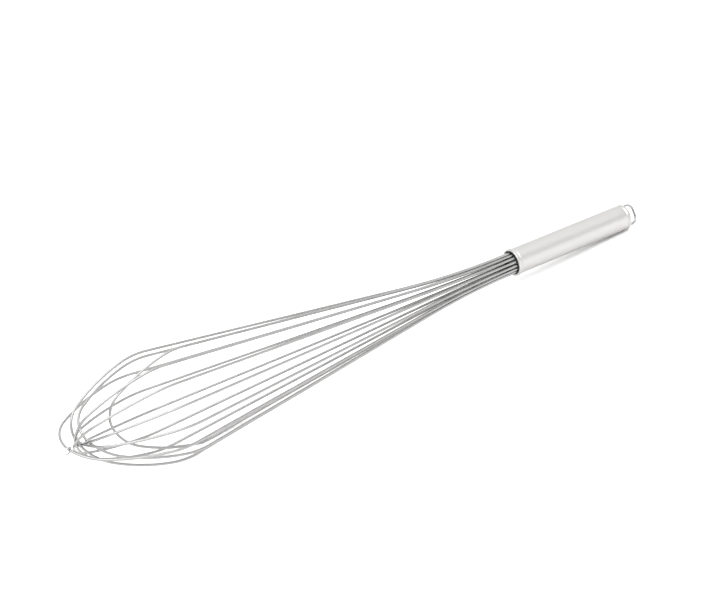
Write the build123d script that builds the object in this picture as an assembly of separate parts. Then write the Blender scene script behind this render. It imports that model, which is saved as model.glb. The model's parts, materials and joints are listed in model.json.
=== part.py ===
from build123d import *
import math
import os

# Balloon whisk. All sizes are in millimetres and all angles in degrees.
# Every piece is first made on the handle's own axis: X runs along the handle from the mouth
# of the tube (X = 0) to the hanging loop, and the balloon of wires is on the negative side.
# A roll is an angle about X, measured from straight down towards +Y.
# The whole whisk is then laid on a flat table, which is the plane Z = 0.

# Handle tube
TUBE_LENGTH = 134.5
TUBE_RADIUS = 12.7
TUBE_WALL = 1.0
HEM_WIDTH = 3.6
HEM_HEIGHT = 0.7
HEM_EDGE = 0.8
BORE = TUBE_RADIUS - TUBE_WALL

# End cap
CAP_FACE = 1.2
CAP_HEIGHT = 5.5
CAP_EDGE = 2.4
CAP_INSET = 0.1
CAP_SKIRT = 9.0
CAP_SKIRT_WALL = 0.9
CAP_GAP = 0.02
CAP_REAR = TUBE_LENGTH + CAP_HEIGHT
CAP_RADIUS = TUBE_RADIUS - CAP_INSET
CAP_SKIRT_RADIUS = BORE - CAP_GAP
CAP_BORE = CAP_SKIRT_RADIUS - CAP_SKIRT_WALL

# Hanging loop
EYE_WIRE = 2.5
EYE_SIDE_GAP = 0.18
EYE_HALF_WIDTH = CAP_BORE - EYE_SIDE_GAP - EYE_WIRE / 2
EYE_REACH = 13.5
EYE_CORNER = 6.5
EYE_LEG_DEPTH = 5.8
EYE_FOOT = 4.5
EYE_BEND = 2.4
EYE_HOLE_GAP = 0.05
EYE_ROLL = -34.0

# Resin in the cap
REAR_SEAL_DEPTH = 10.0
REAR_SEAL_GAP = 0.02

# Band and core that hold the wires' legs
BAND_START = 16.0
BAND_WIDTH = 12.0
BAND_WALL = 0.6
BAND_GAP = 0.1
BAND_SLIDE = 0.3
CORE_START = 12.6
CORE_FLANGE = 3.0
CORE_FLANGE_GAP = 0.3
CORE_LIP = 0.5
CORE_BORE = 4.0
FLUTE_GAP = 0.1

# Wire loops. Each is a smaller copy of the loop round it, and crosses it just behind its tip.
# The flare's bend follows the loop's reach and its widening, so that a straight run always fits.
WIRE = 2.5
LOOP_COUNT = 8
LEG_CIRCLE = BORE - BAND_SLIDE - BAND_WALL - BAND_GAP - WIRE / 2
LEG_DEPTH = 34.0
LEG_LEAD = 2.0
LOOP_REACH = 469.0
BELLY_RADIUS = 51.0
FLARE_SHARE = 0.165
FLARE_BEND = FLARE_SHARE * LOOP_REACH**2 / (BELLY_RADIUS - LEG_CIRCLE)
BELLY_BEND = 1.4 * BELLY_RADIUS
BELLY_TURN = 12.5
SHOULDER_BEND = 3.4 * BELLY_RADIUS
CROWN_TURN = 59.0
NEST_GAP = 0.05
INNER_DROP = 21.8
LEG_STEP = 180.0 / LOOP_COUNT
FIRST_ROLL = -1.5 * LEG_STEP
# Place of each loop round the handle, in leg steps, from the outermost loop to the innermost
LOOP_PLACES = (6, 3, 2, 0, 5, 4, 7, 1)
# The balloon bulges more on one side, where its tip tilts over, and the bundle sits a little askew
BELLY_OFFSET = 3.6
CROWN_TILT = 23.0
BULGE_ROLL = 143.0
LEAN = 0.5
LEAN_ROLL = -37.0
LEAN_PIVOT = LEG_DEPTH + CORE_FLANGE / 2

# Resin in the mouth
RESIN_RECESS = 1.5
RESIN_DEPTH = 10.8
RESIN_GAP = 0.02

# Ring at the tip
RING_WIRE = 1.4
RING_SIZE = 6.8
RING_GAP = 0.08

# Spare length of a cutter past the faces that it cuts through
OVERCUT = 1.0
# Places of the two loops that the balloon rests on, and points along each loop to find how it rests
REST_PLACES = (0, 2)
REST_SAMPLES = 240


def rod(start, end, radius):
    """Solid round bar on the X axis."""
    bar = Cylinder(radius, end - start, align=(Align.CENTER, Align.CENTER, Align.MIN))
    return Pos(start, 0, 0) * Rot(0, 90, 0) * bar


def sleeve(start, end, inner, outer):
    """Plain sleeve on the X axis."""
    return rod(start, end, outer) - rod(start - OVERCUT, end + OVERCUT, inner)


def wire_along(path, diameter):
    """Round wire swept along a planar path of lines and tangent arcs."""
    return sweep(Plane(origin=path @ 0, z_dir=path % 0) * Circle(diameter / 2), path=path)


def handle_tube():
    """Thin tube with a hem rolled outward round its mouth."""
    hem = rod(0, HEM_WIDTH, TUBE_RADIUS + HEM_HEIGHT)
    hem = fillet(hem.edges().filter_by(GeomType.CIRCLE), HEM_EDGE)
    return rod(0, TUBE_LENGTH, TUBE_RADIUS) + hem - rod(-OVERCUT, TUBE_LENGTH + OVERCUT, BORE)


def eye_holes():
    """Cutters for the two holes that the hanging loop's legs pass through."""
    cutter = rod(CAP_REAR - CAP_FACE - OVERCUT, CAP_REAR + OVERCUT, EYE_WIRE / 2 + EYE_HOLE_GAP)
    pair = Pos(0, 0, EYE_HALF_WIDTH) * cutter + Pos(0, 0, -EYE_HALF_WIDTH) * cutter
    return Rot(EYE_ROLL, 0, 0) * pair


def end_cap():
    """Cup that closes the rear: a rounded face, a short wall and a skirt inside the tube."""
    head = rod(TUBE_LENGTH, CAP_REAR, CAP_RADIUS)
    rear_edge = head.edges().filter_by(GeomType.CIRCLE).sort_by(Axis.X)[-1]
    head = fillet(rear_edge, CAP_EDGE)
    skirt = rod(TUBE_LENGTH - CAP_SKIRT, TUBE_LENGTH, CAP_SKIRT_RADIUS)
    hollow = rod(TUBE_LENGTH - CAP_SKIRT - OVERCUT, CAP_REAR - CAP_FACE, CAP_BORE)
    return head + skirt - hollow - eye_holes()


def eye_path():
    """Centreline of the hanging loop, from foot to foot."""
    foot_x = CAP_REAR - CAP_FACE - EYE_LEG_DEPTH
    crown_x = CAP_REAR + EYE_REACH - EYE_WIRE / 2
    corners = [
        (foot_x, 0, EYE_HALF_WIDTH - EYE_FOOT),
        (foot_x, 0, EYE_HALF_WIDTH),
        (crown_x, 0, EYE_HALF_WIDTH),
        (crown_x, 0, -EYE_HALF_WIDTH),
        (foot_x, 0, -EYE_HALF_WIDTH),
        (foot_x, 0, EYE_FOOT - EYE_HALF_WIDTH),
    ]
    return Rot(EYE_ROLL, 0, 0) * FilletPolyline(*corners, radius=[EYE_BEND, EYE_CORNER, EYE_CORNER, EYE_BEND])


def rear_seal(eye):
    """Resin that fills the cap round the feet of the hanging loop."""
    rear = CAP_REAR - CAP_FACE - REAR_SEAL_GAP
    return rod(rear - REAR_SEAL_DEPTH, rear, CAP_BORE - REAR_SEAL_GAP) - eye


def leaned(piece):
    """The bundle of wires and what holds them, set askew about the foot of the core."""
    lean = Rot(LEAN_ROLL, 0, 0) * Rot(0, -LEAN, 0) * Rot(-LEAN_ROLL, 0, 0)
    return Pos(LEAN_PIVOT, 0, 0) * lean * Pos(-LEAN_PIVOT, 0, 0) * piece


def loop_depth(number):
    """How far behind the outermost tip a loop's own tip lies."""
    stack = (number - 1) * (WIRE + NEST_GAP)
    if number > 1:
        stack += RING_WIRE + 2 * RING_GAP
    depth = stack / math.cos(math.radians(CROWN_TILT))
    if number == LOOP_COUNT:
        depth += INNER_DROP
    return depth


def loop_scale(number):
    """Size of a loop against the outermost one."""
    return 1 - loop_depth(number) / LOOP_REACH


def loop_roll(number):
    """Roll of the first of a loop's two legs."""
    return FIRST_ROLL + LOOP_PLACES[number - 1] * LEG_STEP


def widest(roll):
    """Greatest radius of the half of a full-size loop that starts at a roll."""
    return BELLY_RADIUS + BELLY_OFFSET * math.cos(math.radians(roll - BULGE_ROLL))


def crown_tilt(roll):
    """Tilt of a loop's tip towards the half that starts at a roll, so that all tips lie in one plane."""
    slope = math.tan(math.radians(CROWN_TILT)) * math.cos(math.radians(roll - BULGE_ROLL))
    return math.degrees(math.atan(slope))


def crown_bend(roll):
    """Bend of a full-size crown, which ends on the handle's axis at the tip's tilt."""
    belly_drop = BELLY_BEND * (1 - math.cos(math.radians(BELLY_TURN)))
    crown_turn = math.radians(CROWN_TURN)
    shoulder_drop = SHOULDER_BEND * (math.cos(math.radians(BELLY_TURN)) - math.sin(crown_turn))
    crown_drop = widest(roll) - belly_drop - shoulder_drop
    return crown_drop / (math.sin(crown_turn) + math.sin(math.radians(crown_tilt(roll))))


def crown_length(roll):
    """Distance along the axis from the widest place of a full-size loop to its tip."""
    belly_turn = math.radians(BELLY_TURN)
    crown_turn = math.radians(CROWN_TURN)
    belly = BELLY_BEND * math.sin(belly_turn)
    shoulder = SHOULDER_BEND * (math.cos(crown_turn) - math.sin(belly_turn))
    crown = crown_bend(roll) * (math.cos(math.radians(crown_tilt(roll))) - math.cos(crown_turn))
    return belly + shoulder + crown


def half_loop(number, roll):
    """Half of a loop's centreline, from the end of the leg at a roll to the tip.

    The run between flare and belly is the common tangent of those two arcs.
    """
    scale = loop_scale(number)
    belly_bend = BELLY_BEND * scale
    along = LOOP_REACH - loop_depth(number) - crown_length(roll) * scale - LEG_LEAD
    across = widest(roll) * scale - belly_bend - LEG_CIRCLE - FLARE_BEND
    span = math.hypot(along, across)
    slope = math.degrees(math.atan2(across, along) + math.asin((FLARE_BEND + belly_bend) / span))
    run = math.sqrt(span**2 - (FLARE_BEND + belly_bend) ** 2)
    leg = Line((LEG_DEPTH, LEG_CIRCLE), (-LEG_LEAD, LEG_CIRCLE))
    flare = JernArc(leg @ 1, leg % 1, FLARE_BEND, -slope)
    side = PolarLine(flare @ 1, run, direction=flare % 1)
    belly = JernArc(side @ 1, side % 1, belly_bend, slope + BELLY_TURN)
    shoulder = JernArc(belly @ 1, belly % 1, SHOULDER_BEND * scale, 90 - BELLY_TURN - CROWN_TURN)
    crown = JernArc(shoulder @ 1, shoulder % 1, crown_bend(roll) * scale, CROWN_TURN + crown_tilt(roll))
    return Wire([leg, flare, side, belly, shoulder, crown])


def loop_centreline(number):
    """Whole centreline of a loop, in the plane of its two legs."""
    roll = loop_roll(number)
    first = half_loop(number, roll)
    second = mirror(half_loop(number, roll + 180), about=Plane.XZ)
    path = Wire(list(first.edges()) + list(second.edges()))
    return leaned(Rot(roll - 90, 0, 0) * path)


def leg_rods(radius):
    """Straight rods along the parts of the legs that lie inside the tube."""
    bar = Pos(0, LEG_CIRCLE, 0) * rod(0, LEG_DEPTH + OVERCUT, radius)
    rods = Part()
    for leg in range(2 * LOOP_COUNT):
        rods += Rot(FIRST_ROLL + leg * LEG_STEP - 90, 0, 0) * bar
    return rods


def wire_core():
    """Fluted plug that holds the legs evenly round the inside of the tube."""
    flange_start = LEG_DEPTH + CORE_FLANGE_GAP
    body = rod(CORE_START, flange_start, LEG_CIRCLE + CORE_LIP)
    flange = rod(flange_start, flange_start + CORE_FLANGE, BORE - BAND_GAP)
    hole = rod(CORE_START - OVERCUT, flange_start + CORE_FLANGE + OVERCUT, CORE_BORE)
    return leaned(body - leg_rods(WIRE / 2 + FLUTE_GAP) + flange - hole)


def wire_band():
    """Band pressed round the legs, which keeps them in the flutes."""
    inner = LEG_CIRCLE + WIRE / 2 + BAND_GAP
    return leaned(sleeve(BAND_START, BAND_START + BAND_WIDTH, inner, inner + BAND_WALL))


def resin_seal():
    """Resin poured between the legs, just inside the mouth."""
    seal = rod(RESIN_RECESS, RESIN_RECESS + RESIN_DEPTH, BORE - RESIN_GAP)
    return seal - leaned(leg_rods(WIRE / 2 + RESIN_GAP))


def tip_ring():
    """Small closed ring that hangs on the outermost loop at its tip."""
    inner_side = WIRE / 2 + RING_GAP + RING_WIRE / 2
    ring = Pos(inner_side - RING_SIZE / 2, 0, 0) * Torus(RING_SIZE / 2, RING_WIRE / 2)
    tilt = Rot(BULGE_ROLL, 0, 0) * Rot(0, CROWN_TILT, 0) * Rot(-BULGE_ROLL, 0, 0)
    return leaned(Pos(-LOOP_REACH, 0, 0) * tilt * Rot(loop_roll(1), 0, 0) * ring)


def make_pieces():
    """Every piece by its name, on the handle's axis."""
    eye = wire_along(eye_path(), EYE_WIRE)
    pieces = {
        "handle_tube": handle_tube(),
        "end_cap": end_cap(),
        "hanging_loop": eye,
        "rear_seal": rear_seal(eye),
        "wire_core": wire_core(),
        "wire_band": wire_band(),
        "resin_seal": resin_seal(),
        "tip_ring": tip_ring(),
    }
    for number in range(1, LOOP_COUNT + 1):
        pieces[f"whisk_loop_{number}"] = wire_along(loop_centreline(number), WIRE)
    return pieces


def rest_roll():
    """Roll that brings the two wires that the balloon rests on to the same height."""
    low_wires = []
    for place in REST_PLACES:
        roll = FIRST_ROLL + place * LEG_STEP
        radius = widest(roll) * loop_scale(LOOP_PLACES.index(place) + 1)
        low_wires.append((radius * math.sin(math.radians(roll)), radius * math.cos(math.radians(roll))))
    (near_y, near_drop), (far_y, far_drop) = low_wires
    return math.degrees(math.atan2(far_drop - near_drop, far_y - near_y))


def rest_tilt(roll):
    """Tilt that brings the balloon and the rear of the handle to the same height."""
    pivot_x = CAP_REAR - CAP_EDGE
    pivot_drop = CAP_RADIUS
    steepest = 0.0
    for number in range(1, LOOP_COUNT + 1):
        path = Rot(roll, 0, 0) * loop_centreline(number)
        for sample in range(REST_SAMPLES):
            point = path.position_at(sample / REST_SAMPLES)
            drop = WIRE / 2 - point.Z - pivot_drop
            steepest = max(steepest, math.atan2(drop, pivot_x - point.X))
    return math.degrees(steepest)


def placement(pieces):
    """Place on the table: centred, and resting on the balloon and the rear of the handle."""
    roll = rest_roll()
    turn = Rot(0, rest_tilt(roll), 0) * Rot(roll, 0, 0)
    boxes = [(turn * piece).bounding_box() for piece in pieces.values()]
    middle_x = (min(box.min.X for box in boxes) + max(box.max.X for box in boxes)) / 2
    middle_y = (min(box.min.Y for box in boxes) + max(box.max.Y for box in boxes)) / 2
    return Pos(-middle_x, -middle_y, -min(box.min.Z for box in boxes)) * turn


os.makedirs("parts", exist_ok=True)
whisk = make_pieces()
place_on_table = placement(whisk)
for name, piece in whisk.items():
    export_step(place_on_table * piece, f"parts/{name}.step")
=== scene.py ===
import bmesh
import bpy
import json
import math
from bpy.props import FloatProperty, FloatVectorProperty, PointerProperty
from mathutils import Matrix, Vector


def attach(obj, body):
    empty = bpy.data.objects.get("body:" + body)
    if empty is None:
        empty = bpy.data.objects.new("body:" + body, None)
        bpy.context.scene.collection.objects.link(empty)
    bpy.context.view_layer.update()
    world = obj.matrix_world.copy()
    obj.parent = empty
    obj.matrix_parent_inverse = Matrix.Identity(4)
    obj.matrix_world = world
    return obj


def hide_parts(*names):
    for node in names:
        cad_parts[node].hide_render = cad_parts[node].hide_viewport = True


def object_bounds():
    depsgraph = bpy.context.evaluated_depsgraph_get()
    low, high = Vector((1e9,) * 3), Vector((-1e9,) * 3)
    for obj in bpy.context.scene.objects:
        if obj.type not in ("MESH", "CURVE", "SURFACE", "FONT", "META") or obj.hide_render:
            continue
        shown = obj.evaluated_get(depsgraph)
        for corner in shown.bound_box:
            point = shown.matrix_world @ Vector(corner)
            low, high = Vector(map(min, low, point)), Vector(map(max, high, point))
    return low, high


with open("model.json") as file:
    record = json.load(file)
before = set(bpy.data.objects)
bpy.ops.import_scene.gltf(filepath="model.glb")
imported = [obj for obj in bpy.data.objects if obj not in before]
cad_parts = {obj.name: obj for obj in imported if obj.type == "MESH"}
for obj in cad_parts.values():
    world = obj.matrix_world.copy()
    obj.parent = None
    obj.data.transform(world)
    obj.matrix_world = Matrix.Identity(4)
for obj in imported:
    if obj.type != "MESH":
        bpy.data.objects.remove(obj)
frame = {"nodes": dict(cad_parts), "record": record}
CAD_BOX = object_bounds()
RECORD = frame["record"]
MOUNTS = {mount["name"]: mount for mount in RECORD["mounts"]}
ROOT = "root"
MM = 0.001

bl_info = {
    "name": "Balloon Whisk",
    "version": (1, 0, 0),
    "blender": (4, 5, 0),
    "location": "3D View > Sidebar > Whisk",
    "description": "Smooth wires, steel finishes and a pale stage for the balloon whisk",
    "category": "Add Mesh",
}


def length(name, millimetres, description):
    """Length property, given in millimetres."""
    metres = millimetres * MM
    return FloatProperty(name=name, description=description, default=metres, unit="LENGTH", precision=5)


def turn(name, degrees, description):
    """Angle property, given in degrees."""
    return FloatProperty(name=name, description=description, default=math.radians(degrees), subtype="ANGLE")


def colour(name, value, description):
    """Colour property."""
    return FloatVectorProperty(
        name=name,
        description=description,
        default=value,
        subtype="COLOR",
        min=0,
        max=1,
    )


def factor(name, value, description):
    """Property from nothing to full."""
    return FloatProperty(name=name, description=description, default=value, min=0, max=1, subtype="FACTOR")


def ratio(name, value, description):
    """Plain number that is never negative."""
    return FloatProperty(name=name, description=description, default=value, min=0, subtype="UNSIGNED")


class WhiskHandleSizes(bpy.types.PropertyGroup):
    """Sizes of the tube, the cap, the hanging loop and the resin."""

    tube_length: length("Tube length", 134.5, "Length of the handle tube")
    tube_radius: length("Tube radius", 12.7, "Outer radius of the handle tube")
    tube_wall: length("Tube wall", 1, "Thickness of the tube's wall")
    hem_width: length("Hem width", 3.6, "Width of the hem round the mouth")
    hem_height: length("Hem height", 0.7, "How far the hem stands out of the tube")
    hem_edge: length("Hem rounding", 0.8, "Rounding of the hem's two edges")
    cap_height: length("Cap height", 5.5, "Height of the cap behind the tube")
    cap_edge: length("Cap rounding", 2.4, "Rounding of the cap's rear edge")
    cap_inset: length("Cap inset", 0.1, "Step from the tube down to the cap")
    cap_skirt: length("Cap skirt", 9, "Length of the skirt inside the tube")
    cap_face: length("Cap face", 1.2, "Thickness of the cap's face")
    cap_bore: length("Cap bore", 10.78, "Inner radius of the cap's skirt")
    eye_wire: length("Hanging loop wire", 2.5, "Thickness of the hanging loop's wire")
    eye_half_width: length("Hanging loop half width", 9.35, "From the handle's axis to the middle of its leg")
    eye_reach: length("Hanging loop reach", 13.5, "How far it stands out of the cap")
    eye_corner: length("Hanging loop corners", 6.5, "Bend of its two corners")
    eye_depth: length("Hanging loop depth", 5.8, "How deep its legs go behind the cap's face")
    eye_foot: length("Hanging loop foot", 4.5, "Length of each foot bent inward")
    eye_bend: length("Hanging loop foot bend", 2.4, "Bend between leg and foot")
    eye_roll: turn("Hanging loop roll", -34, "Roll of its plane about the handle")
    resin_recess: length("Resin recess", 1.5, "From the mouth in to the resin")
    resin_depth: length("Resin depth", 10.8, "Thickness of the resin in the mouth")
    resin_gap: length("Resin gap", 0.02, "Clearance of the resin in the tube")


class WhiskWireSizes(bpy.types.PropertyGroup):
    """Sizes of the balloon's wire loops and of the ring at its tip."""

    wire: length("Wire", 2.5, "Thickness of the spring wire")
    leg_circle: length("Leg circle", 9.45, "Radius of the circle of legs in the mouth")
    leg_depth: length("Leg depth", 34, "How deep the legs go into the tube")
    leg_lead: length("Leg lead", 2, "Straight stretch of each leg outside the mouth")
    loop_reach: length("Reach", 469, "From the mouth to the outermost tip")
    belly_radius: length("Belly radius", 51, "Largest radius of the outermost loop")
    flare_share: factor("Flare share", 0.165, "How much of the loop's room the flare's bend takes")
    belly_share: ratio("Belly bend share", 1.4, "Bend of the belly, in belly radii")
    belly_turn: turn("Belly turn", 12.5, "Turn of the belly past its widest place")
    shoulder_share: ratio("Shoulder bend share", 3.4, "Bend between belly and crown, in belly radii")
    crown_turn: turn("Crown turn", 59, "Turn of the crown where it doesn't tilt")
    nest_gap: length("Nest gap", 0.05, "Clearance between two crossing wires")
    inner_drop: length("Inner drop", 21.8, "Extra depth of the innermost loop")
    leg_step: turn("Leg step", 22.5, "Roll from one leg to the next")
    first_roll: turn("First roll", -33.75, "Roll of the first leg, from straight down")
    belly_offset: length("Belly offset", 3.6, "How much further the balloon bulges on one side")
    crown_tilt: turn("Crown tilt", 23, "Tilt of the tip towards the side that bulges")
    bulge_roll: turn("Bulge roll", 143, "Roll of the side that bulges")
    lean: turn("Lean", 0.5, "How far the bundle of wires sits askew in the tube")
    lean_roll: turn("Lean roll", -37, "Roll that the balloon leans towards")
    lean_pivot: length("Lean pivot", 35.5, "From the mouth in to the place about which the bundle leans")
    ring_wire: length("Ring wire", 1.4, "Thickness of the ring's wire")
    ring_size: length("Ring size", 6.8, "Width of the ring, to the middle of its wire")
    ring_gap: length("Ring gap", 0.08, "Clearance of the ring in the crossing")


class WhiskFinish(bpy.types.PropertyGroup):
    """Colours and roughness of the finishes."""

    wire_colour: colour("Wire colour", (0.31, 0.308, 0.306), "Colour of the drawn wire")
    wire_rough: factor("Wire roughness", 0.2, "Roughness of the drawn wire")
    tube_colour: colour("Tube colour", (0.45, 0.445, 0.435), "Colour of the satin tube")
    tube_rough: factor("Tube roughness", 0.3, "Roughness of the satin tube")
    cap_colour: colour("Cap colour", (0.42, 0.415, 0.405), "Colour of the drawn cap")
    cap_rough: factor("Cap roughness", 0.3, "Roughness of the drawn cap")
    eye_colour: colour("Hanging loop colour", (0.3, 0.3, 0.3), "Colour of the hanging loop's bright wire")
    eye_rough: factor("Hanging loop roughness", 0.16, "Roughness of the hanging loop's bright wire")
    ring_colour: colour("Tip ring colour", (0.5, 0.51, 0.5), "Colour of the ring at the tip")
    ring_rough: factor("Tip ring roughness", 0.22, "Roughness of the ring at the tip")
    band_colour: colour("Band colour", (0.56, 0.56, 0.57), "Colour of the mill-finish band")
    band_rough: factor("Band roughness", 0.35, "Roughness of the mill-finish band")
    resin_colour: colour("Mouth resin colour", (0.035, 0.037, 0.045), "Colour of the resin in the mouth")
    resin_rough: factor("Mouth resin roughness", 0.35, "Roughness of the resin in the mouth")
    rear_resin_colour: colour("Rear resin colour", (0.3, 0.29, 0.26), "Colour of the resin in the cap")
    rear_resin_rough: factor("Rear resin roughness", 0.3, "Roughness of the resin in the cap")
    core_colour: colour("Core colour", (0.03, 0.03, 0.032), "Colour of the moulded core")
    core_rough: factor("Core roughness", 0.6, "Roughness of the moulded core")


class WhiskStage(bpy.types.PropertyGroup):
    """Floor, lights and camera."""

    floor_colour: colour("Floor colour", (0.97, 0.97, 0.97), "Colour of the pale floor")
    floor_size: length("Floor size", 9000, "Width of the floor")
    soft_light: ratio("Soft light", 1.7, "Strength of the wide soft light")
    light_width: turn("Soft light width", 60, "How wide the soft light is in the sky")
    light_forward: turn("Soft light forward", 25, "How far the soft light tips towards the camera's side")
    light_sideways: turn("Soft light sideways", -15, "How far the soft light tips along the whisk")
    sky_light: ratio("Sky light", 1.6, "Strength of the grey studio round it")
    lens: length("Lens", 96.3, "Focal length of the camera")
    distance: length("Camera distance", 1800, "From the camera to the mouth, along the view")
    view_away: turn("View away", 26.5, "How far the handle points away from the camera")
    view_rise: turn("View rise", 22, "How far the handle rises in the picture")
    view_roll: turn("View roll", 36.75, "Roll about the handle at which the camera looks down on it")
    aim_left: length("Aim left", 148, "How far left of the mouth the camera aims")
    aim_below: length("Aim below", 40, "How far below the mouth the camera aims")


# Place of each loop round the handle, in leg steps, from the outermost loop to the innermost
LOOP_PLACES = (6, 3, 2, 0, 5, 4, 7, 1)
# Places of the two loops that the balloon rests on
REST_PLACES = (0, 2)
# Fineness of the meshes: turn of one arc step, faces round each kind of section, and steps along them
ARC_STEP = math.radians(1.5)
WIRE_SIDES = 20
EYE_SIDES = 24
RING_SIDES = 16
RING_STEPS = 64
TUBE_SIDES = 128
RESIN_SIDES = 96
TUBE_STATIONS = 16
RESIN_STEPS = 12
# Share of a wire's thickness by which its cut ends are rounded over
WIRE_END_ROUNDING = 0.1
# Radius of the tiny hole that a turned solid keeps on its own axis
AXIS_HOLE = 0.01 * MM
# How high the mouth's resin climbs at the tube's wall
RESIN_CLIMB = 0.6 * MM
# Width of the camera's sensor in millimetres, and how far it sees in metres
SENSOR_WIDTH = 36
VIEW_LIMIT = 100
# Brightness of the studio by height, from the floor's level (0) to straight above (1)
SKY_HEIGHTS = ((0.0, 0.25), (0.03, 1.4), (0.1, 1.3), (0.2, 0.75), (0.6, 1.0), (1.0, 1.15))


class Pen:
    """Draws a flat path of straight runs and arcs. A positive turn bends it to the left."""

    def __init__(self, start, heading):
        self.points = [Vector(start)]
        self.heading = heading

    def run(self, distance, pieces=1):
        """Straight run, cut into equal pieces."""
        start = self.points[-1]
        ahead = Vector((math.cos(self.heading), math.sin(self.heading)))
        for piece in range(1, pieces + 1):
            self.points.append(start + ahead * (distance * piece / pieces))

    def arc(self, bend, angle):
        """Tangent arc of a given bend radius."""
        start = self.points[-1]
        side = math.copysign(1, angle)
        centre = start + Vector((-math.sin(self.heading), math.cos(self.heading))) * bend * side
        steps = max(2, math.ceil(abs(angle) / ARC_STEP))
        for step in range(1, steps + 1):
            heading = self.heading + angle * step / steps
            self.points.append(centre + Vector((math.sin(heading), -math.cos(heading))) * bend * side)
        self.heading += angle


# ---- Places of the pieces


def loop_depth(wires, number):
    """How far behind the outermost tip a loop's own tip lies."""
    stack = (number - 1) * (wires.wire + wires.nest_gap)
    if number > 1:
        stack += wires.ring_wire + 2 * wires.ring_gap
    depth = stack / math.cos(wires.crown_tilt)
    if number == len(LOOP_PLACES):
        depth += wires.inner_drop
    return depth


def loop_scale(wires, number):
    """Size of a loop against the outermost one."""
    return 1 - loop_depth(wires, number) / wires.loop_reach


def widest(wires, roll):
    """Greatest radius of the half of a full-size loop that starts at a roll."""
    return wires.belly_radius + wires.belly_offset * math.cos(roll - wires.bulge_roll)


def crown_tilt(wires, roll):
    """Tilt of a loop's tip towards the half that starts at a roll, so that all tips lie in one plane."""
    return math.atan(math.tan(wires.crown_tilt) * math.cos(roll - wires.bulge_roll))


def loop_roll(wires, number):
    """Roll of the first of a loop's two legs."""
    return wires.first_roll + LOOP_PLACES[number - 1] * wires.leg_step


def rest_roll(wires):
    """Roll that brings the two wires that the balloon rests on to the same height."""
    low_wires = []
    for place in REST_PLACES:
        roll = wires.first_roll + place * wires.leg_step
        radius = widest(wires, roll) * loop_scale(wires, LOOP_PLACES.index(place) + 1)
        low_wires.append(Vector((math.sin(roll), math.cos(roll))) * radius)
    across = low_wires[1] - low_wires[0]
    return math.atan2(across.y, across.x)


def handle_frame():
    """Matrix from the handle's own axis, with X from the mouth to the rear, to its place on the table."""
    handle = bpy.context.scene.whisk_handle
    wires = bpy.context.scene.whisk_wires
    grip = MOUNTS["grip"]
    axis = Vector(grip["axis"])
    tilt = math.atan2(-axis.z, axis.x)
    turned = Matrix.Rotation(tilt, 4, "Y") @ Matrix.Rotation(rest_roll(wires), 4, "X")
    middle = turned @ Vector(((handle.hem_width + handle.tube_length) / 2, 0, 0))
    return Matrix.Translation(Vector(grip["pos_m"]) - middle) @ turned


def bundle_frame():
    """Matrix of the bundle of wires, which sits askew in the tube about the foot of the core."""
    wires = bpy.context.scene.whisk_wires
    pivot = Matrix.Translation((wires.lean_pivot, 0, 0))
    roll = Matrix.Rotation(wires.lean_roll, 4, "X")
    lean = roll @ Matrix.Rotation(-wires.lean, 4, "Y") @ roll.inverted()
    return handle_frame() @ pivot @ lean @ pivot.inverted()


def half_loop_points(number, roll):
    """Half of a loop's centreline in the plane of its legs, from the end of the leg at a roll to the tip."""
    wires = bpy.context.scene.whisk_wires
    scale = loop_scale(wires, number)
    tilt = crown_tilt(wires, roll)
    flare_bend = wires.flare_share * wires.loop_reach**2 / (wires.belly_radius - wires.leg_circle)
    belly_bend = wires.belly_share * wires.belly_radius * scale
    shoulder_bend = wires.shoulder_share * wires.belly_radius * scale
    belly_drop = belly_bend * (1 - math.cos(wires.belly_turn))
    shoulder_drop = shoulder_bend * (math.cos(wires.belly_turn) - math.sin(wires.crown_turn))
    crown_drop = widest(wires, roll) * scale - belly_drop - shoulder_drop
    crown_bend = crown_drop / (math.sin(wires.crown_turn) + math.sin(tilt))
    belly_length = belly_bend * math.sin(wires.belly_turn)
    shoulder_length = shoulder_bend * (math.cos(wires.crown_turn) - math.sin(wires.belly_turn))
    crown_length = belly_length + shoulder_length + crown_bend * (math.cos(tilt) - math.cos(wires.crown_turn))
    along = wires.loop_reach - loop_depth(wires, number) - crown_length - wires.leg_lead
    across = widest(wires, roll) * scale - belly_bend - wires.leg_circle - flare_bend
    span = math.hypot(along, across)
    slope = math.atan2(across, along) + math.asin((flare_bend + belly_bend) / span)
    side_run = math.sqrt(span**2 - (flare_bend + belly_bend) ** 2)
    pen = Pen((wires.leg_depth, wires.leg_circle), math.pi)
    pen.run(wires.leg_depth + wires.leg_lead, 6)
    pen.arc(flare_bend, -slope)
    pen.run(side_run, 30)
    pen.arc(belly_bend, slope + wires.belly_turn)
    pen.arc(shoulder_bend, math.pi / 2 - wires.belly_turn - wires.crown_turn)
    pen.arc(crown_bend, wires.crown_turn + tilt)
    return pen.points


def loop_points(number):
    """Whole centreline of a loop, from the end of one leg to the end of the other."""
    roll = loop_roll(bpy.context.scene.whisk_wires, number)
    first = half_loop_points(number, roll)
    second = half_loop_points(number, roll + math.pi)
    return first + [Vector((point.x, -point.y)) for point in reversed(second[:-1])]


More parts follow.
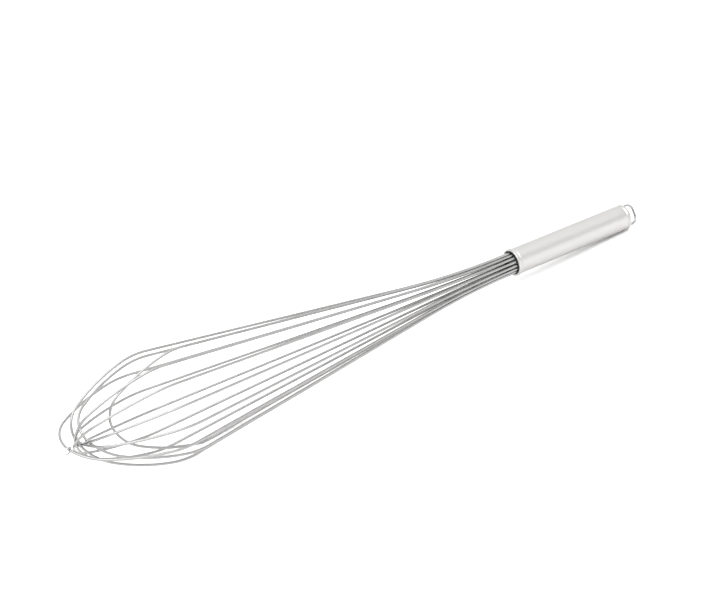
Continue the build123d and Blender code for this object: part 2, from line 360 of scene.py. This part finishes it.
def eye_points():
    """Centreline of the hanging loop in its own plane, from foot to foot."""
    handle = bpy.context.scene.whisk_handle
    rear = handle.tube_length + handle.cap_height
    foot_x = rear - handle.cap_face - handle.eye_depth
    leg = rear + handle.eye_reach - handle.eye_wire / 2 - foot_x - handle.eye_bend - handle.eye_corner
    pen = Pen((foot_x, handle.eye_half_width - handle.eye_foot), math.pi / 2)
    pen.run(handle.eye_foot - handle.eye_bend, 2)
    pen.arc(handle.eye_bend, -math.pi / 2)
    pen.run(leg, 8)
    pen.arc(handle.eye_corner, -math.pi / 2)
    pen.run(2 * (handle.eye_half_width - handle.eye_corner), 6)
    pen.arc(handle.eye_corner, -math.pi / 2)
    pen.run(leg, 8)
    pen.arc(handle.eye_bend, -math.pi / 2)
    pen.run(handle.eye_foot - handle.eye_bend, 2)
    return pen.points


# ---- Meshes


def add_piece(name, mesh_data, grain, material, slot, *nodes):
    """Makes an object of a mesh with its surface grain and finish, puts it in its body and hides its CAD
    nodes. The slot argument is not used.
    """
    bmesh.ops.recalc_face_normals(mesh_data, faces=mesh_data.faces)
    for face in mesh_data.faces:
        face.smooth = True
    mesh = bpy.data.meshes.new(name)
    mesh_data.to_mesh(mesh)
    mesh_data.free()
    layer = mesh.attributes.new("grain", "FLOAT_VECTOR", "POINT")
    layer.data.foreach_set("vector", [number for place in grain for number in place])
    mesh.materials.append(material)
    piece = bpy.data.objects.new(name, mesh)
    bpy.context.scene.collection.objects.link(piece)
    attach(piece, ROOT)
    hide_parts(*nodes)
    return piece


def wire_mesh(points, plane_normal, thickness, sides, closed=False):
    """Round wire along flat points. Open ends are rounded over.

    The grain of each vertex is its place in the wire as if it were pulled straight.
    """
    count = len(points)
    radius = thickness / 2
    edge = thickness * WIRE_END_ROUNDING
    rings = []
    stations = []
    travelled = 0.0
    for index, point in enumerate(points):
        before = points[index - 1] if closed or index else point
        after = points[(index + 1) % count] if closed or index < count - 1 else point
        if index:
            travelled += (point - points[index - 1]).length
        stations.append((point, (after - before).normalized(), radius, travelled))
    if not closed:
        first_end = rounded_end(stations[0], -1, edge)[::-1]
        last_end = rounded_end(stations[-1], 1, edge)
        stations = first_end + stations[1:-1] + last_end
    built = bmesh.new()
    grain = []
    for point, ahead, size, place in stations:
        side = ahead.cross(plane_normal)
        ring = []
        for step in range(sides):
            angle = 2 * math.pi * step / sides
            out = plane_normal * math.cos(angle) + side * math.sin(angle)
            ring.append(built.verts.new(point + out * size))
            grain.append((place, size * math.cos(angle), size * math.sin(angle)))
        rings.append(ring)
    pairs = list(zip(rings, rings[1:]))
    if closed:
        pairs.append((rings[-1], rings[0]))
    for first, second in pairs:
        for step in range(sides):
            after = (step + 1) % sides
            built.faces.new((first[step], first[after], second[after], second[step]))
    if not closed:
        built.faces.new(rings[0])
        built.faces.new(rings[-1])
    return built, grain


def rounded_end(station, direction, edge):
    """Stations that round a wire's end over, from the full section to the flat end."""
    point, ahead, radius, place = station
    stations = []
    for step in range(5):
        angle = math.pi / 2 * step / 4
        back = edge * (1 - math.sin(angle)) * -direction
        stations.append((point + ahead * back, ahead, radius - edge * (1 - math.cos(angle)), place + back))
    return stations


def turned_mesh(outline, sides, matrix):
    """Solid turned about the X axis from a closed outline of (along, radius) points."""
    built = bmesh.new()
    grain = []
    columns = []
    for step in range(sides):
        angle = 2 * math.pi * step / sides
        column = []
        for along, radius in outline:
            place = Vector((along, radius * math.cos(angle), radius * math.sin(angle)))
            column.append(built.verts.new(matrix @ place))
            grain.append(tuple(place))
        columns.append(column)
    size = len(outline)
    for step in range(sides):
        column = columns[step]
        beside = columns[(step + 1) % sides]
        for index in range(size):
            after = (index + 1) % size
            built.faces.new((column[index], column[after], beside[after], beside[index]))
    return built, grain


def corner(centre, radius, start, end, steps=6):
    """Points of a rounded corner of an outline, by the angles of its arc in degrees."""
    points = []
    for step in range(steps + 1):
        angle = math.radians(start + (end - start) * step / steps)
        points.append((centre[0] + radius * math.cos(angle), centre[1] + radius * math.sin(angle)))
    return points


# ---- Finishes


class Finish:
    """A node material that is built up step by step."""

    def __init__(self, name, tint, metallic, roughness):
        self.material = bpy.data.materials.new(name)
        self.material.use_nodes = True
        self.nodes = self.material.node_tree.nodes
        self.links = self.material.node_tree.links
        self.nodes.clear()
        self.shader = self.nodes.new("ShaderNodeBsdfPrincipled")
        output = self.nodes.new("ShaderNodeOutputMaterial")
        self.links.new(self.shader.outputs["BSDF"], output.inputs["Surface"])
        self.tint = tint
        self.roughness = roughness
        self.shader.inputs["Metallic"].default_value = metallic
        self.shader.inputs["Base Color"].default_value = (*tint, 1)
        self.shader.inputs["Roughness"].default_value = roughness

    def places(self, scale, source="grain"):
        """Surface places stretched by a scale along X, Y and Z, from the grain or from the object."""
        mapping = self.nodes.new("ShaderNodeMapping")
        mapping.inputs["Scale"].default_value = scale
        if source == "grain":
            grain = self.nodes.new("ShaderNodeAttribute")
            grain.attribute_name = "grain"
            self.links.new(grain.outputs["Vector"], mapping.inputs["Vector"])
        else:
            spot = self.nodes.new("ShaderNodeTexCoord")
            self.links.new(spot.outputs["Object"], mapping.inputs["Vector"])
        return mapping.outputs["Vector"]

    def noise(self, places, scale, detail=3, roughness=0.55):
        """Cloudy pattern from nothing to one."""
        noise = self.nodes.new("ShaderNodeTexNoise")
        noise.inputs["Scale"].default_value = scale
        noise.inputs["Detail"].default_value = detail
        noise.inputs["Roughness"].default_value = roughness
        self.links.new(places, noise.inputs["Vector"])
        return noise.outputs["Fac"]

    def spread(self, value, low, high, lowest=0.3, highest=0.7):
        """Spreads a pattern's middle range over the values from low to high."""
        spread = self.nodes.new("ShaderNodeMapRange")
        spread.inputs["From Min"].default_value = lowest
        spread.inputs["From Max"].default_value = highest
        spread.inputs["To Min"].default_value = low
        spread.inputs["To Max"].default_value = high
        self.links.new(value, spread.inputs["Value"])
        return spread.outputs["Result"]

    def combined(self, operation, first, second):
        """Two patterns added, multiplied or otherwise put together."""
        math_node = self.nodes.new("ShaderNodeMath")
        math_node.operation = operation
        self.links.new(first, math_node.inputs[0])
        self.links.new(second, math_node.inputs[1])
        return math_node.outputs[0]

    def colour_between(self, value, dark, light):
        """Base colour between two shades of the finish's own tint."""
        ramp = self.nodes.new("ShaderNodeMix")
        ramp.data_type = "RGBA"
        ramp.inputs["A"].default_value = (*[channel * dark for channel in self.tint], 1)
        ramp.inputs["B"].default_value = (*[min(channel * light, 1) for channel in self.tint], 1)
        self.links.new(value, ramp.inputs["Factor"])
        self.links.new(ramp.outputs["Result"], self.shader.inputs["Base Color"])

    def rough(self, value):
        """Roughness from a pattern."""
        self.links.new(value, self.shader.inputs["Roughness"])

    def bump(self, value, height, strength=1.0):
        """Surface relief of a given height."""
        bump = self.nodes.new("ShaderNodeBump")
        bump.inputs["Strength"].default_value = strength
        bump.inputs["Distance"].default_value = height
        self.links.new(value, bump.inputs["Height"])
        self.links.new(bump.outputs["Normal"], self.shader.inputs["Normal"])


def drawn_wire(name, tint, roughness):
    """Bright drawn wire: fine die lines along it, dull patches and faint rub marks."""
    finish = Finish(name, tint, 1.0, roughness)
    lines = finish.noise(finish.places((25, 3200, 3200)), 1.0, detail=2)
    patches = finish.noise(finish.places((60, 120, 120)), 1.0, detail=4)
    rubs = finish.noise(finish.places((900, 700, 700)), 1.0, detail=2, roughness=0.7)
    finish.colour_between(finish.spread(patches, 0, 1), 0.9, 1.08)
    finish.rough(
        finish.combined(
            "ADD",
            finish.spread(patches, roughness * 0.75, roughness * 1.3),
            finish.spread(rubs, 0, 0.08, 0.55, 0.75),
        )
    )
    finish.bump(lines, 0.00002, 0.5)
    return finish.material


def brushed_steel(name, tint, roughness):
    """Satin steel: fine grain along the handle, a few longer scratches, and handling marks."""
    finish = Finish(name, tint, 1.0, roughness)
    grain = finish.noise(finish.places((40, 2600, 2600)), 1.0, detail=4, roughness=0.65)
    scratches = finish.noise(finish.places((12, 700, 700)), 1.0, detail=2)
    marks = finish.noise(finish.places((35, 60, 60)), 1.0, detail=5)
    finish.colour_between(finish.spread(grain, 0, 1), 0.93, 1.04)
    finish.rough(
        finish.combined(
            "ADD",
            finish.spread(marks, roughness * 0.85, roughness * 1.15),
            finish.spread(scratches, 0.06, 0, 0.35, 0.5),
        )
    )
    finish.bump(finish.combined("ADD", grain, finish.spread(scratches, 0, 0.6, 0.35, 0.45)), 0.00003, 0.6)
    return finish.material


def satin_cap(name, tint, roughness):
    """Drawn steel cup: even satin with fine pits and dull patches."""
    finish = Finish(name, tint, 1.0, roughness)
    fine = finish.noise(finish.places((2400, 2400, 2400)), 1.0, detail=2)
    marks = finish.noise(finish.places((90, 90, 90)), 1.0, detail=5)
    finish.colour_between(finish.spread(marks, 0, 1), 0.94, 1.04)
    finish.rough(finish.spread(marks, roughness * 0.85, roughness * 1.2))
    finish.bump(fine, 0.00002, 0.4)
    return finish.material


def poured_resin(name, tint, roughness):
    """Poured epoxy: slightly glossy, with small dimples and dust."""
    finish = Finish(name, tint, 0.0, roughness)
    dimples = finish.noise(finish.places((500, 500, 500), "object"), 1.0, detail=2)
    dust = finish.noise(finish.places((1600, 1600, 1600), "object"), 1.0, detail=3, roughness=0.7)
    finish.colour_between(finish.spread(dust, 0, 1, 0.45, 0.75), 0.9, 1.7)
    finish.rough(finish.spread(dust, roughness * 0.8, roughness * 1.5))
    finish.bump(dimples, 0.0001, 0.5)
    return finish.material


def moulded_plastic(name, tint, roughness):
    """Moulded core: matt, with a fine spark-eroded texture."""
    finish = Finish(name, tint, 0.0, roughness)
    texture = finish.noise(finish.places((1500, 1500, 1500), "object"), 1.0, detail=3)
    cloud = finish.noise(finish.places((80, 80, 80), "object"), 1.0, detail=2)
    finish.colour_between(finish.spread(cloud, 0, 1), 0.85, 1.2)
    finish.rough(finish.spread(texture, roughness * 0.85, roughness * 1.1))
    finish.bump(texture, 0.00005, 0.5)
    return finish.material


def mill_band(name, tint, roughness):
    """Mill-finish strip steel with rolling lines round the band."""
    finish = Finish(name, tint, 1.0, roughness)
    lines = finish.noise(finish.places((2500, 60, 60), "object"), 1.0, detail=2)
    finish.colour_between(finish.spread(lines, 0, 1), 0.88, 1.05)
    finish.rough(finish.spread(lines, roughness * 0.8, roughness * 1.25))
    finish.bump(lines, 0.00003, 0.5)
    return finish.material


def pale_floor(name, tint):
    """Plain pale studio paper."""
    finish = Finish(name, tint, 0.0, 0.9)
    paper = finish.noise(finish.places((300, 300, 300), "object"), 1.0, detail=2)
    finish.colour_between(finish.spread(paper, 0, 1), 0.99, 1.01)
    finish.bump(paper, 0.0001, 0.1)
    return finish.material


# ---- Operators, one for each piece or group of like pieces


class AddWireLoops(bpy.types.Operator):
    """Adds the spring wire loops of the balloon."""

    bl_idname = "whisk.add_wire_loops"
    bl_label = "Wire loops"

    def execute(self, context):
        wires = context.scene.whisk_wires
        finish = context.scene.whisk_finish
        material = drawn_wire("spring_wire", finish.wire_colour, finish.wire_rough)
        for number in range(1, len(LOOP_PLACES) + 1):
            roll = Matrix.Rotation(loop_roll(wires, number) - math.pi / 2, 4, "X")
            place = bundle_frame() @ roll
            points = [point.to_3d() for point in loop_points(number)]
            built, grain = wire_mesh(points, Vector((0, 0, 1)), wires.wire, WIRE_SIDES)
            bmesh.ops.transform(built, matrix=place, verts=built.verts)
            node = f"whisk_loop_{number}"
            add_piece(f"wire_loop_{number}", built, grain, material, "spring_wire", node)
        return {"FINISHED"}


class AddTipRing(bpy.types.Operator):
    """Adds the small closed ring on the outermost loop's tip."""

    bl_idname = "whisk.add_tip_ring"
    bl_label = "Tip ring"

    def execute(self, context):
        wires = context.scene.whisk_wires
        finish = context.scene.whisk_finish
        inner_side = wires.wire / 2 + wires.ring_gap + wires.ring_wire / 2
        radius = wires.ring_size / 2
        centre = Vector((inner_side - radius, 0, 0))
        points = []
        for step in range(RING_STEPS):
            angle = 2 * math.pi * step / RING_STEPS
            points.append(centre + Vector((math.cos(angle), math.sin(angle), 0)) * radius)
        built, grain = wire_mesh(points, Vector((0, 0, 1)), wires.ring_wire, RING_SIDES, closed=True)
        bulge = Matrix.Rotation(wires.bulge_roll, 4, "X")
        tilt = bulge @ Matrix.Rotation(wires.crown_tilt, 4, "Y") @ bulge.inverted()
        tip = Matrix.Translation((-wires.loop_reach, 0, 0))
        place = bundle_frame() @ tip @ tilt @ Matrix.Rotation(loop_roll(wires, 1), 4, "X")
        bmesh.ops.transform(built, matrix=place, verts=built.verts)
        material = drawn_wire("tip_wire", finish.ring_colour, finish.ring_rough)
        add_piece("ring_at_tip", built, grain, material, "tip_wire", "tip_ring")
        return {"FINISHED"}


class AddHangingLoop(bpy.types.Operator):
    """Adds the wire loop that the whisk hangs from."""

    bl_idname = "whisk.add_hanging_loop"
    bl_label = "Hanging loop"

    def execute(self, context):
        handle = context.scene.whisk_handle
        finish = context.scene.whisk_finish
        points = [Vector((point.x, 0, point.y)) for point in eye_points()]
        built, grain = wire_mesh(points, Vector((0, 1, 0)), handle.eye_wire, EYE_SIDES)
        place = handle_frame() @ Matrix.Rotation(handle.eye_roll, 4, "X")
        bmesh.ops.transform(built, matrix=place, verts=built.verts)
        material = drawn_wire("polished_wire", finish.eye_colour, finish.eye_rough)
        add_piece("hanging_wire", built, grain, material, "polished_wire", "hanging_loop")
        return {"FINISHED"}


class AddHandleTube(bpy.types.Operator):
    """Adds the satin tube with the hem round its mouth."""

    bl_idname = "whisk.add_handle_tube"
    bl_label = "Handle tube"

    def execute(self, context):
        handle = context.scene.whisk_handle
        finish = context.scene.whisk_finish
        bore = handle.tube_radius - handle.tube_wall
        hem = handle.tube_radius + handle.hem_height
        edge = handle.hem_edge
        burr = handle.tube_wall * 0.2
        outline = [(edge * 0.5, bore), (0, bore + edge * 0.3)]
        outline += corner((edge, hem - edge), edge, 180, 90)
        outline += corner((handle.hem_width - edge, hem - edge), edge, 90, 0)
        outline += [(handle.hem_width, handle.tube_radius), (handle.hem_width * 1.4, handle.tube_radius)]
        for step in range(1, TUBE_STATIONS):
            outline.append((handle.tube_length * step / TUBE_STATIONS, handle.tube_radius))
        outline += corner((handle.tube_length - burr, handle.tube_radius - burr), burr, 90, 0, 3)
        outline.append((handle.tube_length, bore))
        built, grain = turned_mesh(outline, TUBE_SIDES, handle_frame())
        material = brushed_steel("brushed_steel_tube", finish.tube_colour, finish.tube_rough)
        add_piece("satin_tube", built, grain, material, "brushed_steel_tube", "handle_tube")
        return {"FINISHED"}


class AddEndCap(bpy.types.Operator):
    """Adds the rounded cap that closes the handle."""

    bl_idname = "whisk.add_end_cap"
    bl_label = "End cap"

    def execute(self, context):
        handle = context.scene.whisk_handle
        finish = context.scene.whisk_finish
        rear = handle.tube_length + handle.cap_height
        outer = handle.tube_radius - handle.cap_inset
        skirt = handle.tube_radius - handle.tube_wall
        skirt_end = handle.tube_length - handle.cap_skirt
        edge = handle.cap_edge
        outline = [(rear, AXIS_HOLE), (rear, outer - edge - MM)]
        outline += corner((rear - edge, outer - edge), edge, 0, 90, 10)
        outline += [(handle.tube_length, outer), (handle.tube_length, skirt)]
        outline += [(skirt_end, skirt), (skirt_end, handle.cap_bore)]
        outline += [(rear - handle.cap_face, handle.cap_bore), (rear - handle.cap_face, AXIS_HOLE)]
        built, grain = turned_mesh(outline, TUBE_SIDES, handle_frame())
        material = satin_cap("satin_steel_cap", finish.cap_colour, finish.cap_rough)
        add_piece("drawn_cap", built, grain, material, "satin_steel_cap", "end_cap")
        return {"FINISHED"}


class AddMouthResin(bpy.types.Operator):
    """Adds the resin between the wires in the mouth, which climbs a little at the wall."""

    bl_idname = "whisk.add_mouth_resin"
    bl_label = "Mouth resin"

    def execute(self, context):
        handle = context.scene.whisk_handle
        finish = context.scene.whisk_finish
        radius = handle.tube_radius - handle.tube_wall - handle.resin_gap
        front = handle.resin_recess
        back = front + handle.resin_depth
        outline = [(back, AXIS_HOLE), (back, radius), (front, radius)]
        for step in range(1, RESIN_STEPS):
            share = 1 - step / RESIN_STEPS
            outline.append((front + RESIN_CLIMB * (1 - share**4), radius * share))
        outline.append((front + RESIN_CLIMB, AXIS_HOLE))
        built, grain = turned_mesh(outline, RESIN_SIDES, handle_frame())
        material = poured_resin("grey_resin", finish.resin_colour, finish.resin_rough)
        add_piece("mouth_resin", built, grain, material, "grey_resin", "resin_seal")
        return {"FINISHED"}


class FinishInnerPieces(bpy.types.Operator):
    """Gives the core, the band and the rear resin inside the handle their finishes."""

    bl_idname = "whisk.finish_inner_pieces"
    bl_label = "Inner pieces"

    def execute(self, context):
        finish = context.scene.whisk_finish
        finishes = {
            "wire_core": moulded_plastic("core_plastic", finish.core_colour, finish.core_rough),
            "wire_band": mill_band("band_steel", finish.band_colour, finish.band_rough),
            "rear_seal": poured_resin("clear_resin", finish.rear_resin_colour, finish.rear_resin_rough),
        }
        for node, material in finishes.items():
            for slot in frame["nodes"][node].material_slots:
                slot.material = material
        return {"FINISHED"}


class BuildStage(bpy.types.Operator):
    """Adds the pale floor, the soft light and the camera."""

    bl_idname = "whisk.build_stage"
    bl_label = "Stage"

    def execute(self, context):
        stage = context.scene.whisk_stage
        self.add_floor(stage)
        self.add_light(stage)
        self.add_sky(stage)
        self.add_camera(stage)
        context.scene.view_settings.view_transform = "Standard"
        return {"FINISHED"}

    def add_floor(self, stage):
        """Flat floor under the lowest point of the object."""
        lowest = CAD_BOX[0][2]
        half = stage.floor_size / 2
        built = bmesh.new()
        corners = [(-half, -half), (half, -half), (half, half), (-half, half)]
        built.faces.new([built.verts.new((x, y, lowest)) for x, y in corners])
        mesh = bpy.data.meshes.new("floor")
        built.to_mesh(mesh)
        built.free()
        mesh.materials.append(pale_floor("pale_floor", stage.floor_colour))
        floor = bpy.data.objects.new("floor", mesh)
        bpy.context.scene.collection.objects.link(floor)

    def add_light(self, stage):
        """Very wide soft light from above and in front."""
        light = bpy.data.lights.new("soft_light", "SUN")
        light.energy = stage.soft_light
        light.angle = stage.light_width
        lamp = bpy.data.objects.new("soft_light", light)
        lamp.rotation_euler = (stage.light_forward, stage.light_sideways, 0)
        bpy.context.scene.collection.objects.link(lamp)

    def add_sky(self, stage):
        """Grey studio with darker walls and a bright ceiling, by height above the floor."""
        world = bpy.data.worlds.new("studio")
        bpy.context.scene.world = world
        world.use_nodes = True
        nodes = world.node_tree.nodes
        links = world.node_tree.links
        nodes.clear()
        spot = nodes.new("ShaderNodeTexCoord")
        parts = nodes.new("ShaderNodeSeparateXYZ")
        ramp = nodes.new("ShaderNodeValToRGB")
        background = nodes.new("ShaderNodeBackground")
        output = nodes.new("ShaderNodeOutputWorld")
        links.new(spot.outputs["Generated"], parts.inputs["Vector"])
        links.new(parts.outputs["Z"], ramp.inputs["Fac"])
        links.new(ramp.outputs["Color"], background.inputs["Color"])
        links.new(background.outputs["Background"], output.inputs["Surface"])
        background.inputs["Strength"].default_value = stage.sky_light
        while len(ramp.color_ramp.elements) < len(SKY_HEIGHTS):
            ramp.color_ramp.elements.new(0.5)
        for element, (height, grey) in zip(ramp.color_ramp.elements, SKY_HEIGHTS):
            element.position = height
            element.color = (grey, grey, grey, 1)

    def add_camera(self, stage):
        """Camera that looks at the whisk from its side, with the handle pointing up and away."""
        away = stage.view_away
        rise = stage.view_rise
        along = Vector((math.cos(away) * math.cos(rise), math.cos(away) * -math.sin(rise), math.sin(away)))
        across = Vector((math.sin(rise), math.cos(rise), 0))
        beyond = along.cross(across)
        down = across * math.cos(stage.view_roll) + beyond * math.sin(stage.view_roll)
        side = beyond * math.cos(stage.view_roll) - across * math.sin(stage.view_roll)
        picture_from_handle = Matrix((along, side, -down)).transposed()
        camera_axes = Matrix(((1, 0, 0), (0, -1, 0), (0, 0, -1)))
        handle_from_camera = picture_from_handle.transposed() @ camera_axes
        mouth = Vector((stage.aim_left, -stage.aim_below, stage.distance))
        place = Matrix.Translation(picture_from_handle.transposed() @ -mouth) @ handle_from_camera.to_4x4()
        lens = bpy.data.cameras.new("camera")
        lens.sensor_width = SENSOR_WIDTH
        lens.lens = stage.lens / MM
        lens.clip_end = VIEW_LIMIT
        camera = bpy.data.objects.new("camera", lens)
        camera.matrix_world = handle_frame() @ place
        bpy.context.scene.collection.objects.link(camera)
        bpy.context.scene.camera = camera


class WhiskPanel(bpy.types.Panel):
    """Lists the whisk's sizes, finishes and steps in the sidebar."""

    bl_idname = "VIEW3D_PT_whisk"
    bl_label = "Balloon Whisk"
    bl_space_type = "VIEW_3D"
    bl_region_type = "UI"
    bl_category = "Whisk"

    def draw(self, context):
        for operator in OPERATORS:
            self.layout.operator(operator.bl_idname)
        for group in ("whisk_handle", "whisk_wires", "whisk_finish", "whisk_stage"):
            box = self.layout.box()
            values = getattr(context.scene, group)
            for name in values.__annotations__:
                box.prop(values, name)


GROUPS = {
    "whisk_handle": WhiskHandleSizes,
    "whisk_wires": WhiskWireSizes,
    "whisk_finish": WhiskFinish,
    "whisk_stage": WhiskStage,
}
OPERATORS = (
    AddWireLoops,
    AddTipRing,
    AddHangingLoop,
    AddHandleTube,
    AddEndCap,
    AddMouthResin,
    FinishInnerPieces,
    BuildStage,
)


def register():
    for name, group in GROUPS.items():
        bpy.utils.register_class(group)
        setattr(bpy.types.Scene, name, PointerProperty(type=group))
    for operator in OPERATORS:
        bpy.utils.register_class(operator)
    bpy.utils.register_class(WhiskPanel)


def unregister():
    bpy.utils.unregister_class(WhiskPanel)
    for operator in reversed(OPERATORS):
        bpy.utils.unregister_class(operator)
    for name, group in GROUPS.items():
        delattr(bpy.types.Scene, name)
        bpy.utils.unregister_class(group)


def main():
    register()
    bpy.ops.whisk.add_wire_loops()
    bpy.ops.whisk.add_tip_ring()
    bpy.ops.whisk.add_hanging_loop()
    bpy.ops.whisk.add_handle_tube()
    bpy.ops.whisk.add_end_cap()
    bpy.ops.whisk.add_mouth_resin()
    bpy.ops.whisk.finish_inner_pieces()
    bpy.ops.whisk.build_stage()


if __name__ == "__main__":
    main()
